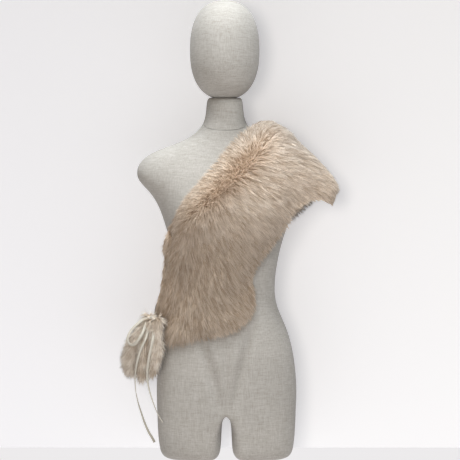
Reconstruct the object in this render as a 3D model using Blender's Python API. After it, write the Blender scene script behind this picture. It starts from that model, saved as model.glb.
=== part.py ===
"""A long-haired fur collar wrap, worn like a sash on a limbless dress form and tied with laces.

The form stands on its thigh stubs and faces -Y. The wrap lies on the form in planes of the
sash: ALONG points from the form's right hip up to its left shoulder, ACROSS is square to it.
Everything is in metres, +Z up.
"""
import math

import bmesh
import bpy
import numpy as np
from mathutils import Vector
from mathutils.bvhtree import BVHTree
from mathutils.geometry import convex_hull_2d

MM = 0.001
GAP = 0.3 * MM              # between pieces that meet
TINY = 1e-6                 # the rounding of a share or a unit length

# The dress form
FORM_X = -10.6 * MM         # its middle, left of the whole object's middle
FORM_Y = 3.2 * MM
FORM_SIDES = 44             # corners of a trunk section
TRUNK_STEPS = 2             # sections for each row of its table
HEAD_CENTRE = (-4.0 * MM, -6.0 * MM, 922.5 * MM)
HEAD_HALF = (79.5 * MM, 99.0 * MM, 111.5 * MM)
HEAD_SQUARENESS = 2.4       # 2 is an ellipse, more is squarer
HEAD_GRAIN = (32, 18)       # faces round the head, and from its foot to its top
NECK_X = -4.0 * MM          # the neck stands this far to one side of the trunk's middle
NECK_SHIFT = (700.0, 760.0)     # it moves over between these heights, in millimetres
NECK_SEAM_HEIGHT = 760.0 * MM
NECK_SEAM_TILT = math.radians(26.0)     # the seam is higher at the back

# Trunk sections from the thighs' soles to the neck's top, in millimetres
TRUNK = [
    # height, half width, front depth, back depth, squareness
    (0.0, 133.0, 68.0, 72.0, 2.6),
    (3.0, 141.0, 78.0, 82.0, 2.6),
    (12.0, 148.0, 85.0, 89.0, 2.6),
    (27.0, 152.5, 88.0, 93.0, 2.6),
    (60.0, 156.5, 90.0, 99.0, 2.5),
    (110.0, 158.5, 92.0, 106.0, 2.4),
    (150.0, 160.0, 94.0, 109.0, 2.3),
    (191.0, 158.5, 96.0, 108.0, 2.2),
    (234.0, 153.0, 97.0, 101.0, 2.2),
    (266.0, 146.0, 95.0, 92.0, 2.2),
    (297.0, 136.0, 91.0, 82.0, 2.2),
    (325.0, 123.0, 86.0, 73.0, 2.2),
    (351.0, 113.5, 81.0, 67.0, 2.2),
    (380.0, 110.0, 78.0, 64.0, 2.2),
    (415.0, 113.0, 78.0, 66.0, 2.2),
    (458.0, 120.0, 82.0, 72.0, 2.25),
    (490.0, 128.0, 87.0, 78.0, 2.3),
    (522.0, 139.0, 91.0, 83.0, 2.3),
    (555.0, 149.0, 92.0, 86.0, 2.3),
    (590.0, 167.0, 89.0, 89.0, 2.25),
    (611.0, 186.0, 85.0, 89.0, 2.2),
    (627.0, 203.0, 81.0, 88.0, 2.15),
    (646.0, 208.5, 76.0, 86.0, 2.1),
    (664.0, 203.0, 70.0, 83.0, 2.1),
    (683.0, 185.0, 63.0, 79.0, 2.1),
    (698.0, 155.0, 58.0, 75.0, 2.1),
    (713.0, 112.0, 53.0, 71.0, 2.1),
    (727.0, 82.0, 50.0, 67.0, 2.1),
    (742.0, 62.0, 47.0, 62.0, 2.0),
    (758.0, 49.0, 45.0, 57.0, 2.0),
    (785.0, 44.0, 43.0, 51.0, 2.0),
    (845.0, 43.5, 43.0, 46.0, 2.0),
]
# Round swellings of the trunk, in millimetres; each is made on both sides
SWELLINGS = [
    # side, height, half width, half height, depth (front is negative)
    (72.0, 540.0, 46.0, 44.0, -19.0),
    (70.0, 165.0, 55.0, 60.0, 9.0),
]
# The arch between the thigh stubs, in millimetres
NOTCH = [
    # height, half gap, flare towards the front and back
    (-12.0, 46.0, 60.0),
    (0.0, 33.0, 66.0),
    (4.0, 21.0, 72.0),
    (14.0, 14.0, 74.0),
    (30.0, 12.5, 72.0),
    (47.0, 11.5, 62.0),
    (62.0, 11.0, 48.0),
    (76.0, 9.5, 28.0),
    (88.0, 6.5, 10.0),
    (95.0, 2.0, 1.0),
]
NOTCH_HALF_DEPTH = 112.0 * MM
NOTCH_STATIONS = 13         # from front to back
NOTCH_BOW = 0.97            # the flare's curve is cut off here, short of its end
NOTCH_ROUNDNESS = 4.0       # how long the gap stays narrow before it flares
CUTTER_WIDTH = 0.9          # of the boxes that part the neck from the torso
CUTTER_TOP = 0.5            # they reach this far above the seam, and this far below it
CUTTER_FOOT = -1.2

# The sash planes
SASH_TILT = math.radians(34.5)
ALONG = Vector((math.sin(SASH_TILT), 0.0, math.cos(SASH_TILT)))
ACROSS = Vector((-math.cos(SASH_TILT), 0.0, math.sin(SASH_TILT)))
HUB = 400.0 * MM            # where the angles are measured from, along the sash
CLEARANCE = 4.0 * MM        # between the form and the wrap
NECK_LIMIT = 760.0 * MM     # the wrap lies on nothing above this height
PLANES = np.arange(100.0, 441.0, 10.0) * MM
ANGLES = np.radians(np.arange(-200.0, 201.0, 2.0))
SOFTENING = np.array([1.0, 2.0, 3.0, 2.0, 1.0]) / 9.0   # rounds the taut outline's corners

# How far the wrap stands off where it bridges hollows of the form, in millimetres
SHOULDER_REACH = [
    # across, along at the shoulder's crest
    (100.0, 622.0),
    (128.0, 628.0),
    (154.0, 638.0),
    (179.0, 649.0),
    (205.0, 662.0),
    (440.0, 640.0),
]
HIP_REACH = [
    # across, along at the hip
    (235.0, 140.0),
    (260.0, 148.0),
    (300.0, 164.0),
    (322.0, 188.0),
    (343.0, 223.0),
    (375.0, 291.0),
    (405.0, 370.0),
]
REACH_HALF_DEPTH = 28.0 * MM

# The wrap's edges, from the front's tied end over the shoulder to the back's tied end
WRAP = [
    # angle in degrees, then across in millimetres: upper edge, parting, lower edge
    (-173.0, 312.0, 298.0, 276.0),
    (-168.0, 327.0, 301.0, 256.0),
    (-163.0, 342.0, 308.0, 231.0),
    (-157.0, 358.0, 321.0, 195.0),
    (-152.0, 368.0, 333.0, 164.0),
    (-147.0, 375.0, 338.0, 140.0),
    (-141.0, 380.0, 343.0, 129.0),
    (-134.0, 384.0, 347.0, 130.0),
    (-126.0, 391.0, 353.0, 143.0),
    (-116.0, 396.0, 360.0, 163.0),
    (-106.0, 402.0, 366.0, 174.0),
    (-95.0, 407.0, 369.0, 180.0),
    (-80.0, 411.0, 366.0, 181.0),
    (-65.0, 409.0, 359.0, 179.0),
    (-50.0, 405.0, 352.0, 177.0),
    (-38.0, 400.0, 346.0, 174.0),
    (-27.0, 397.0, 340.0, 170.0),
    (-18.0, 394.0, 332.0, 158.0),
    (-9.0, 387.0, 329.0, 131.0),
    (0.0, 384.0, 330.0, 127.0),
    (9.0, 386.0, 331.0, 131.0),
    (18.0, 392.0, 334.0, 150.0),
    (27.0, 396.0, 338.0, 166.0),
    (38.0, 399.0, 344.0, 174.0),
    (55.0, 402.0, 350.0, 177.0),
    (80.0, 406.0, 357.0, 178.0),
    (105.0, 401.0, 355.0, 179.0),
    (125.0, 392.0, 350.0, 184.0),
    (140.0, 382.0, 344.0, 187.0),
    (152.0, 370.0, 335.0, 198.0),
    (162.0, 355.0, 322.0, 214.0),
    (170.0, 342.0, 311.0, 230.0),
    (178.0, 328.0, 302.0, 250.0),
    (183.5, 316.0, 298.0, 268.0),
]
WRAP_STEPS = 4              # angles for each row of the table
SHOULDER_ANGLE = 38.0       # the shoulder stretch runs this many degrees to front and back
PANEL_WALL = 12.0 * MM      # hide with its pile lying flat
ROLL_WALL = 17.0 * MM
RIM_SLANT = 4.0 * MM        # the pile's edge leans in by this much
RIM_SHARE = 0.2             # but by no more than this share of the wall's width
ROLL_THIN = 0.55            # the roll's depth at its upper edge, as a share of its fullest
ROLL_FULL_AT = 0.25         # where its depth begins on the half wave from thin to thin
# How deep the pile stands over the shoulder's crest, in millimetres
CREST_WALL = [
    # across, depth
    (127.0, 12.0),
    (180.0, 12.0),
    (210.0, 9.0),
    (240.0, 9.0),
    (266.0, 17.0),
    (309.0, 34.0),
    (345.0, 40.0),
    (368.0, 31.0),
    (390.0, 16.0),
]
CREST_SPREAD = 24.0         # degrees over which that depth fades
LIFTS = 20                  # times a point may be moved out to clear the form
SEAM_RADIUS = 100.0 * MM    # a little less than the wrap's least radius at its seams
STRETCH_STEPS = {"front": 7.0, "shoulder": 5.0, "back": 6.5}    # degrees between sections
PANEL_LANES = 11            # strips across the panel, the same in all three stretches
ROLL_LANES = 3

# The loose ends at the hip, in millimetres from the form's middle: rows from the knot outwards
END_SECTIONS = {
    "end_back": [
        # x, y, z, width, depth
        (-179.0, -33.0, 306.0, 16.0, 13.0),
        (-189.0, -37.0, 286.0, 32.0, 20.0),
        (-201.0, -39.0, 262.0, 42.0, 24.0),
        (-211.0, -38.0, 236.0, 48.0, 26.0),
        (-214.0, -36.0, 213.0, 44.0, 24.0),
        (-213.0, -35.0, 196.0, 30.0, 18.0),
        (-212.0, -34.0, 188.0, 12.0, 10.0),
    ],
    "end_middle": [
        (-174.0, -53.0, 296.0, 9.0, 8.0),
        (-177.0, -56.0, 274.0, 14.0, 11.0),
        (-182.0, -57.0, 248.0, 19.0, 13.0),
        (-186.0, -57.0, 220.0, 23.0, 15.0),
        (-188.0, -56.0, 193.0, 20.0, 14.0),
        (-188.0, -55.0, 174.0, 8.0, 7.0),
    ],
    "end_front": [
        (-159.0, -62.0, 286.0, 14.0, 8.0),
        (-156.0, -67.0, 268.0, 26.0, 11.0),
        (-156.0, -67.0, 250.0, 36.0, 15.0),
        (-158.0, -64.0, 228.0, 34.0, 16.0),
        (-163.0, -61.0, 205.0, 22.0, 14.0),
        (-166.0, -58.0, 187.0, 10.0, 8.0),
    ],
}
END_SIDES = 12
END_STEPS = 2               # sections for each row of a loose end's table

# The laces, in millimetres from the form's middle; each starts at the knot
LACE_WIDTH = 6.0 * MM
KNOT_CENTRE = (-167.0, -46.5, 315.0)
KNOT_HALF = (8.0, 6.0, 7.0)
KNOT_GRAIN = (14, 8)
LACES = {
    "tie_tail_long": [
        (-170.0, -53.5, 306.0), (-174.0, -65.0, 293.0), (-180.0, -74.0, 272.0),
        (-189.0, -75.0, 252.0), (-196.0, -74.0, 230.0), (-201.0, -71.0, 207.0),
        (-203.0, -67.0, 184.0), (-202.0, -62.0, 158.0), (-197.0, -55.0, 130.0),
        (-190.0, -47.0, 105.0), (-183.0, -39.0, 82.0), (-175.0, -29.0, 61.0),
        (-167.5, -18.0, 46.0), (-163.0, -8.0, 35.0),
    ],
    "tie_tail_short": [
        (-163.0, -54.5, 306.0), (-161.5, -69.0, 294.0), (-162.0, -82.0, 276.0),
        (-167.0, -84.0, 252.0), (-172.0, -84.0, 227.0), (-175.0, -81.0, 201.0),
        (-174.0, -79.0, 178.0), (-169.0, -79.0, 154.0), (-161.0, -79.0, 130.0),
        (-152.0, -77.0, 107.0), (-141.0, -77.0, 88.0),
    ],
    "tie_loop": [
        (-177.5, -48.5, 318.0), (-187.0, -54.0, 314.5), (-197.0, -62.0, 307.0),
        (-208.0, -65.0, 297.0), (-216.0, -67.0, 285.0), (-220.0, -68.0, 272.0),
        (-215.0, -70.0, 262.0), (-205.0, -75.0, 261.0), (-196.0, -83.0, 270.0),
        (-187.0, -82.0, 284.0), (-182.0, -71.0, 297.0), (-179.0, -57.5, 307.5),
    ],
}
LACE_STEP = 2.4             # diameters between the points of a lace
LACE_GRAIN = 12             # places measured along it for each row of its table


def clear_scene():
    for obj in list(bpy.data.objects):
        bpy.data.objects.remove(obj, do_unlink=True)


def collection(name):
    made = bpy.data.collections.new(name)
    bpy.context.scene.collection.children.link(made)
    return made


def material(name, colour, roughness):
    made = bpy.data.materials.new(name)
    made.use_nodes = True
    shader = made.node_tree.nodes["Principled BSDF"]
    shader.inputs["Base Color"].default_value = (*colour, 1.0)
    shader.inputs["Roughness"].default_value = roughness
    shader.inputs["Metallic"].default_value = 0.0
    return made


def add_object(name, data, look, group):
    obj = bpy.data.objects.new(name, data)
    if look is not None:
        data.materials.append(look)
    group.objects.link(obj)
    return obj


def mesh_from(name, corners, faces):
    mesh = bpy.data.meshes.new(name)
    mesh.from_pydata([tuple(corner) for corner in corners], [], faces)
    mesh.validate()
    bm = bmesh.new()
    bm.from_mesh(mesh)
    bmesh.ops.recalc_face_normals(bm, faces=bm.faces)
    bm.to_mesh(mesh)
    bm.free()
    mesh.shade_smooth()
    return mesh


def smooth_rows(table, steps):
    """The table's rows with steps - 1 more between each two, on a Catmull-Rom curve."""
    rows = np.array(table, dtype=float)
    padded = np.vstack([2 * rows[0] - rows[1], rows, 2 * rows[-1] - rows[-2]])
    result = []
    for i in range(len(rows) - 1):
        before, start, end, after = padded[i:i + 4]
        for step in range(steps):
            t = step / steps
            result.append(0.5 * (2 * start + (end - before) * t
                                 + (2 * before - 5 * start + 4 * end - after) * t ** 2
                                 + (3 * start - before - 3 * end + after) * t ** 3))
    result.append(rows[-1])
    return np.array(result)


def loft(name, rings):
    """A closed skin over rings of equal count, with flat ends."""
    count = len(rings[0])
    corners = [corner for ring in rings for corner in ring]
    faces = []
    for i in range(len(rings) - 1):
        for j in range(count):
            k = (j + 1) % count
            faces.append((i * count + j, i * count + k, (i + 1) * count + k, (i + 1) * count + j))
    last = (len(rings) - 1) * count
    faces.append(tuple(reversed(range(count))))
    faces.append(tuple(range(last, last + count)))
    return mesh_from(name, corners, faces)


def power(value, squareness):
    return math.copysign(abs(value) ** (2.0 / squareness), value)


def trunk_ring(height, half_width, front, back, squareness):
    """One level section of the trunk, with its swellings, in metres."""
    shift = NECK_X * float(np.interp(height, NECK_SHIFT, (0.0, 1.0)))
    ring = []
    for k in range(FORM_SIDES):
        turn = 2.0 * math.pi * k / FORM_SIDES
        x = half_width * power(math.cos(turn), squareness)
        y = (back if math.sin(turn) > 0 else front) * power(math.sin(turn), squareness)
        for side, level, wide, tall, depth in SWELLINGS:
            facing = max(0.0, math.copysign(1.0, depth) * math.sin(turn))
            hump = math.exp(-((abs(x) - side) / wide) ** 2 - ((height - level) / tall) ** 2)
            y += depth * hump * math.sqrt(facing)
        ring.append((FORM_X + x * MM + shift, FORM_Y + y * MM, height * MM))
    return ring


def make_trunk(name):
    return loft(name, [trunk_ring(*row) for row in smooth_rows(TRUNK, TRUNK_STEPS)])


def head_mesh(name, grow):
    """The egg-shaped head, grown all round by the given amount."""
    bm = bmesh.new()
    bmesh.ops.create_uvsphere(bm, u_segments=HEAD_GRAIN[0], v_segments=HEAD_GRAIN[1],
                              radius=1.0)
    for vert in bm.verts:
        level = power(vert.co.z, HEAD_SQUARENESS)
        flat = math.hypot(vert.co.x, vert.co.y)
        scale = power(flat, HEAD_SQUARENESS) / flat if flat > TINY else 0.0
        unit = (vert.co.x * scale, vert.co.y * scale, level)
        vert.co = [c + u * (half + grow) for c, u, half in zip(HEAD_CENTRE, unit, HEAD_HALF)]
        vert.co.x += FORM_X
        vert.co.y += FORM_Y
    mesh = bpy.data.meshes.new(name)
    bm.to_mesh(mesh)
    bm.free()
    mesh.shade_smooth()
    return mesh


def notch_mesh(name):
    """The cutter between the thighs: narrow in the middle, flared to front and back."""
    stations = np.linspace(-1.0, 1.0, NOTCH_STATIONS)
    corners = []
    for height, gap, flare in NOTCH:
        for side in (-1.0, 1.0):
            for station in stations:
                bow = 1.0 - math.sqrt(1.0 - min(NOTCH_BOW, abs(station)) ** NOTCH_ROUNDNESS)
                x = side * (gap + flare * bow) * MM
                corners.append((FORM_X + x, FORM_Y + station * NOTCH_HALF_DEPTH, height * MM))
    count = len(stations)
    ring = 2 * count
    faces = []
    for i in range(len(NOTCH) - 1):
        low, high = i * ring, (i + 1) * ring
        for side in (0, count):
            for j in range(count - 1):
                a, b = side + j, side + j + 1
                faces.append((low + a, low + b, high + b, high + a))
        for j in (0, count - 1):
            faces.append((low + j, low + count + j, high + count + j, high + j))
    for level in (0, (len(NOTCH) - 1) * ring):
        for j in range(count - 1):
            faces.append((level + j, level + j + 1, level + count + j + 1, level + count + j))
    return mesh_from(name, corners, faces)


def slab(name, low, high, group):
    """A tilted box from one distance along the neck seam's normal to another: a cutter."""
    bpy.ops.mesh.primitive_cube_add(size=1.0)
    box = bpy.context.active_object
    box.name = name
    for owner in list(box.users_collection):
        owner.objects.unlink(box)
    group.objects.link(box)
    for vert in box.data.vertices:
        vert.co.x *= CUTTER_WIDTH
        vert.co.y *= CUTTER_WIDTH
        vert.co.z = low if vert.co.z < 0 else high
    box.location = (FORM_X, FORM_Y, NECK_SEAM_HEIGHT)
    box.rotation_euler = (NECK_SEAM_TILT, 0.0, 0.0)
    return box


def cut(obj, cutter):
    cutter.hide_render = True
    cutter.display_type = "WIRE"
    modifier = obj.modifiers.new("cut by " + cutter.name, "BOOLEAN")
    modifier.operation = "DIFFERENCE"
    modifier.solver = "EXACT"
    modifier.object = cutter


def sash_point(across, along, depth):
    point = ACROSS * across + ALONG * along
    return Vector((point.x + FORM_X, depth + FORM_Y, point.z))


def taut_outline(trunk, across):
    """The form's section in one sash plane, pulled taut over its hollows: (along, depth)."""
    bm = bmesh.new()
    bm.from_mesh(trunk)
    geometry = bm.verts[:] + bm.edges[:] + bm.faces[:]
    found = bmesh.ops.bisect_plane(bm, geom=geometry, plane_co=sash_point(across, 0.0, 0.0),
                                   plane_no=ACROSS)
    points = []
    for vert in found["geom_cut"]:
        if isinstance(vert, bmesh.types.BMVert) and vert.co.z < NECK_LIMIT:
            local = vert.co - Vector((FORM_X, FORM_Y, 0.0))
            points.append((local.dot(ALONG), local.y))
    bm.free()
    for table in (SHOULDER_REACH, HIP_REACH):
        levels, reaches = np.array(table).T * MM
        if across >= levels[0]:
            reach = float(np.interp(across, levels, reaches))
            points += [(reach, -REACH_HALF_DEPTH), (reach, REACH_HALF_DEPTH)]
    return [points[i] for i in convex_hull_2d(points)]


def outline_radius(outline, angle):
    """How far the outline is from the hub at one angle."""
    way = Vector((math.cos(angle), math.sin(angle)))
    best = 0.0
    for start, end in zip(outline, outline[1:] + outline[:1]):
        ax, ay = start[0] - HUB, start[1]
        ex, ey = end[0] - start[0], end[1] - start[1]
        crossing = way.x * ey - way.y * ex
        if crossing == 0.0:
            continue
        distance = (ax * ey - ay * ex) / crossing
        share = (ax * way.y - ay * way.x) / crossing
        if -TINY <= share <= 1.0 + TINY and distance > best:
            best = distance
    return best


def make_radii(trunk):
    """Radius of the wrap's inner side, for each sash plane and angle."""
    rows = []
    for across in PLANES:
        outline = taut_outline(trunk, float(across))
        rows.append([outline_radius(outline, float(angle)) + CLEARANCE for angle in ANGLES])
    return softened(softened(np.array(rows)).T).T


def softened(rows):
    """Each row averaged with its neighbours, its ends repeated."""
    reach = len(SOFTENING) // 2
    padded = np.pad(rows, ((0, 0), (reach, reach)), mode="edge")
    return np.array([np.convolve(row, SOFTENING, mode="valid") for row in padded])


def radius_at(radii, across, angle):
    column = [np.interp(angle, ANGLES, row) for row in radii]
    return float(np.interp(across, PLANES, column))


def wrap_edges(degrees):
    """Upper edge, parting and lower edge at an angle, in metres."""
    table = smooth_rows(WRAP, WRAP_STEPS)
    return [float(np.interp(degrees, table[:, 0], table[:, i])) * MM for i in (1, 2, 3)]


def crest_wall(across, degrees, plain):
    """The wall's depth: plain away from the shoulder, tall on its crest."""
    levels, depths = np.array(CREST_WALL).T * MM
    fade = math.exp(-(degrees / CREST_SPREAD) ** 2)
    return plain + (float(np.interp(across, levels, depths)) - plain) * fade


def wall(name, form, radii, degrees_list, lanes, side):
    """A closed wall of fur: side is panel or roll, lanes the number of strips across."""
    inner, outer = [], []
    for degrees in degrees_list:
        angle = math.radians(degrees)
        upper, parting, lower = wrap_edges(degrees)
        low, high = (lower, parting - GAP / 2) if side == "panel" else (parting + GAP / 2, upper)
        plain = PANEL_WALL if side == "panel" else ROLL_WALL
        slant = min(RIM_SLANT, (high - low) * RIM_SHARE)
        for lane in range(lanes + 1):
            share = lane / lanes
            across = low + (high - low) * share
            radius = clear_radius(form, across, radius_at(radii, across, angle), angle)
            inner.append(wrap_place(across, radius, angle))
            across = low + slant + (high - low - 2.0 * slant) * share
            depth = crest_wall(across, degrees, plain)
            if side == "roll":
                depth *= roll_profile(share)
            radius = clear_radius(form, across, radius_at(radii, across, angle), angle)
            outer.append(wrap_place(across, radius + depth, angle))
    return wall_mesh(name, inner, outer, len(degrees_list), lanes + 1)


def roll_profile(share):
    """The roll's depth across itself: nearly full at the parting, thin at the upper edge."""
    wave = math.sin(math.pi * (ROLL_FULL_AT + (1.0 - ROLL_FULL_AT) * share))
    return ROLL_THIN + (1.0 - ROLL_THIN) * wave


def clear_radius(form, across, radius, angle):
    """The radius, grown where its point is nearer to the form than the clearance."""
    for _ in range(LIFTS):
        point = wrap_place(across, radius, angle)
        near, normal, _, _ = form.find_nearest(point)
        short = CLEARANCE - (point - near).dot(normal)
        if short <= 0.0:
            break
        radius += short
    return radius


def wrap_place(across, radius, angle):
    return sash_point(across, HUB + radius * math.cos(angle), radius * math.sin(angle))


def wall_mesh(name, inner, outer, rows, columns):
    """A closed solid between two grids of points."""
    faces = []
    back = rows * columns
    for i in range(rows - 1):
        for j in range(columns - 1):
            a = i * columns + j
            quad = (a, a + 1, a + columns + 1, a + columns)
            faces.append(quad)
            faces.append(tuple(back + corner for corner in reversed(quad)))
    rim = list(range(columns))
    rim += [i * columns + columns - 1 for i in range(1, rows)]
    rim += [(rows - 1) * columns + j for j in range(columns - 2, -1, -1)]
    rim += [i * columns for i in range(rows - 2, 0, -1)]
    for a, b in zip(rim, rim[1:] + rim[:1]):
        faces.append((a, b, back + b, back + a))
    return mesh_from(name, inner + outer, faces)


def degrees_between(start, end, step):
    count = max(2, int(round(abs(end - start) / step)) + 1)
    return np.linspace(start, end, count)


def form_point(x, y, z):
    return Vector((FORM_X + x * MM, FORM_Y + y * MM, z * MM))


def lobe_mesh(name, table):
    """A soft lobe: flattened round sections square to its own line."""
    rows = smooth_rows(table, END_STEPS)
    rings = []
    for i, (x, y, z, width, depth) in enumerate(rows):
        before, after = rows[max(0, i - 1)][:3], rows[min(len(rows) - 1, i + 1)][:3]
        way = Vector(after - before).normalized()
        wide = way.cross(Vector((0.0, 1.0, 0.0))).normalized()
        deep = way.cross(wide)
        ring = []
        for k in range(END_SIDES):
            turn = 2.0 * math.pi * k / END_SIDES
            offset = wide * (width / 2 * math.cos(turn)) + deep * (depth / 2 * math.sin(turn))
            ring.append(form_point(x, y, z) + offset * MM)
        rings.append(ring)
    return loft(name, rings)


def knot_mesh(name):
    bm = bmesh.new()
    bmesh.ops.create_uvsphere(bm, u_segments=KNOT_GRAIN[0], v_segments=KNOT_GRAIN[1],
                              radius=1.0)
    for vert in bm.verts:
        local = [c + v * half for c, v, half in zip(KNOT_CENTRE, vert.co, KNOT_HALF)]
        vert.co = form_point(*local)
    mesh = bpy.data.meshes.new(name)
    bm.to_mesh(mesh)
    bm.free()
    mesh.shade_smooth()
    return mesh


def lace(name, table, look, group):
    """A lace as a round tube on a smooth line through its points."""
    dense = np.array([form_point(*row) for row in smooth_rows(table, LACE_GRAIN)])
    lengths = np.linalg.norm(np.diff(dense, axis=0), axis=1)
    travelled = np.concatenate([[0.0], np.cumsum(lengths)])
    total = float(travelled[-1])
    count = int(round(total / (LACE_WIDTH * LACE_STEP))) + 1
    curve = bpy.data.curves.new(name, "CURVE")
    curve.dimensions = "3D"
    curve.bevel_depth = LACE_WIDTH / 2
    curve.bevel_resolution = 2
    curve.use_fill_caps = True
    spline = curve.splines.new("POLY")
    spline.points.add(count - 1)
    for i, distance in enumerate(np.linspace(0.0, total, count)):
        place = [float(np.interp(distance, travelled, dense[:, axis])) for axis in range(3)]
        spline.points[i].co = (*place, 1.0)
    return add_object(name, curve, look, group)


def build():
    clear_scene()
    parts = collection("fur collar wrap")
    cutters = collection("cutters")
    linen = material("linen", (0.62, 0.58, 0.53), 0.9)
    fur = material("fur", (0.52, 0.42, 0.33), 0.95)
    roll_fur = material("roll fur", (0.47, 0.36, 0.27), 0.95)
    lace_cloth = material("lace", (0.80, 0.74, 0.65), 0.7)

    add_object("form_head", head_mesh("form_head", 0.0), linen, parts)
    head_room = add_object("head room", head_mesh("head room", GAP), None, cutters)
    trunk = make_trunk("form_torso")
    neck = add_object("form_neck", trunk.copy(), linen, parts)
    torso = add_object("form_torso", trunk, linen, parts)
    cut(torso, slab("above the seam", 0.0, CUTTER_TOP, cutters))
    cut(torso, add_object("notch", notch_mesh("notch"), None, cutters))
    cut(neck, slab("below the seam", CUTTER_FOOT, GAP, cutters))
    cut(neck, head_room)

    radii = make_radii(trunk)
    form = BVHTree.FromPolygons([vert.co for vert in trunk.vertices],
                                [face.vertices for face in trunk.polygons])
    first, last = WRAP[0][0], WRAP[-1][0]
    seam = math.degrees(GAP / 2 / SEAM_RADIUS)
    stretches = {
        "front": (first, -SHOULDER_ANGLE - seam),
        "shoulder": (-SHOULDER_ANGLE + seam, SHOULDER_ANGLE - seam),
        "back": (SHOULDER_ANGLE + seam, last),
    }
    for stretch, (start, end) in stretches.items():
        turns = degrees_between(start, end, STRETCH_STEPS[stretch])
        panel = wall("wrap_" + stretch, form, radii, turns, PANEL_LANES, "panel")
        add_object("wrap_" + stretch, panel, fur, parts)
        roll = wall("roll_" + stretch, form, radii, turns, ROLL_LANES, "roll")
        add_object("roll_" + stretch, roll, roll_fur, parts)

    for name, table in END_SECTIONS.items():
        add_object(name, lobe_mesh(name, table), fur, parts)
    add_object("tie_knot", knot_mesh("tie_knot"), lace_cloth, parts)
    for name, table in LACES.items():
        lace(name, table, lace_cloth, parts)


build()
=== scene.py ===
"""The look of a long-haired fur collar wrap, worn as a sash on a limbless linen dress form."""

import math

import bmesh
import bpy
import numpy as np
from mathutils import Matrix, Vector
from mathutils.bvhtree import BVHTree


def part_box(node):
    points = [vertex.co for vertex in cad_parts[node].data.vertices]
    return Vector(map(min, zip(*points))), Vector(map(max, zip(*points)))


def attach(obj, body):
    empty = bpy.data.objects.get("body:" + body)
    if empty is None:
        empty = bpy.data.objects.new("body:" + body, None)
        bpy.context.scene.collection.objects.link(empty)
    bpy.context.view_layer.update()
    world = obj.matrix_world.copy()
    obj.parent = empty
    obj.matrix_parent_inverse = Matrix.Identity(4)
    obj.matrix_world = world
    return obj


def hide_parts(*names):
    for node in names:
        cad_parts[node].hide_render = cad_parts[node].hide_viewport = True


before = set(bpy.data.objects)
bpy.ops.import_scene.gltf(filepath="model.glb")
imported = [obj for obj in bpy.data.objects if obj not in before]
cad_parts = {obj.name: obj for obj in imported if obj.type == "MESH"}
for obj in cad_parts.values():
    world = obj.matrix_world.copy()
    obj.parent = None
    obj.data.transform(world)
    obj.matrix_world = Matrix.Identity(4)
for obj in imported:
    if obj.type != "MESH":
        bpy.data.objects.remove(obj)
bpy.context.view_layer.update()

MM = 0.001

# The dress form, in millimetres from its own middle at the height of its soles
HEAD_SET = 6.0              # the head stands this far in front of the trunk's middle
NECK_SEAM_HEIGHT = 760.0
NECK_SEAM_TILT = math.radians(26.0)
SEAM_GAP = 1.1
TRUNK_VOXEL = 5.5
TRUNK_ROUNDS = 30
FREE_STEP = 0.6             # how far each round of smoothing moves a point, as a share
KEPT_FREE = 0.12            # how much of that is left at the thighs' notch and soles
NOTCH_TOP = 88.0
NOTCH_KEPT = (26.0, 30.0)   # the reach round the notch's top that is kept, and its fade
SOLE_KEPT = (14.0, 40.0)    # the same above the soles
NOTCH_LIFT = 8.0            # opens the notch's narrow top, which the remeshing closes
LIFT_WIDTH = 17.0
LIFT_RISE = (40.0, 36.0)    # the height where the lift begins, and its fade
LIFT_FALL = (150.0, 60.0)   # the height where it ends, and its fade
CREASE_RUN = (0.08, 0.9)    # a crease fades from here on a half wave, over this share
CREASE_SHARPNESS = 0.7
CREASES = [
    # top and foot as distances out from the middle and up, half width, depth
    ((58.0, 300.0), (11.0, 108.0), 11.0, 10.0),
    ((0.0, 290.0), (0.0, 94.0), 6.0, 5.0),
]

# The sash planes: ALONG points from the hip up to the covered shoulder
SASH_TILT = math.radians(34.5)
ALONG = Vector((math.sin(SASH_TILT), 0.0, math.cos(SASH_TILT)))
ACROSS = Vector((-math.cos(SASH_TILT), 0.0, math.sin(SASH_TILT)))
HUB = 400.0                 # where the angles are measured from, along the sash
SASH_MIDDLE = 250.0         # across
SHOULDER_ANGLE = 38.0
WRAP = [
    # angle in degrees round the sash, then across: upper edge, parting, lower edge
    (-173, 312, 298, 276),
    (-168, 327, 301, 256),
    (-163, 342, 308, 231),
    (-157, 358, 321, 195),
    (-152, 368, 333, 164),
    (-147, 375, 338, 140),
    (-141, 380, 343, 129),
    (-134, 384, 347, 130),
    (-126, 391, 353, 143),
    (-116, 396, 360, 163),
    (-106, 402, 366, 174),
    (-95, 407, 369, 180),
    (-80, 411, 366, 181),
    (-65, 409, 359, 179),
    (-50, 405, 352, 177),
    (-38, 400, 346, 174),
    (-27, 397, 340, 170),
    (-18, 394, 332, 158),
    (-9, 387, 329, 131),
    (0, 384, 330, 127),
    (9, 386, 331, 131),
    (18, 392, 334, 150),
    (27, 396, 338, 166),
    (38, 399, 344, 174),
    (55, 402, 350, 177),
    (80, 406, 357, 178),
    (105, 401, 355, 179),
    (125, 392, 350, 184),
    (140, 382, 344, 187),
    (152, 370, 335, 198),
    (162, 355, 322, 214),
    (170, 342, 311, 230),
    (178, 328, 302, 250),
    (183.5, 316, 298, 268),
]
FRONT_STEPS, SHOULDER_STEPS, BACK_STEPS = 54, 30, 58
PANEL_LANES = 18
ROLL_LANES = 6
STRETCH_SHY = 0.7           # degrees that a ray keeps clear of the end of its stretch
PARTING_SHY = 6.0           # and how far it keeps clear of the parting
HEM_INSET = 24.0            # the hide stops this far inside the pile's edge
END_INSET = 0.2             # but by no more than this share of the panel's width
ROLL_INSET = 13.0
ROLL_END_INSET = 0.3        # nor than this share of the roll's
ROLL_BULGE = 20.0           # on the lower front the roll swells outwards
ROLL_BULGE_ANGLE = -139.0
ROLL_BULGE_SPREAD = 34.0
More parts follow.
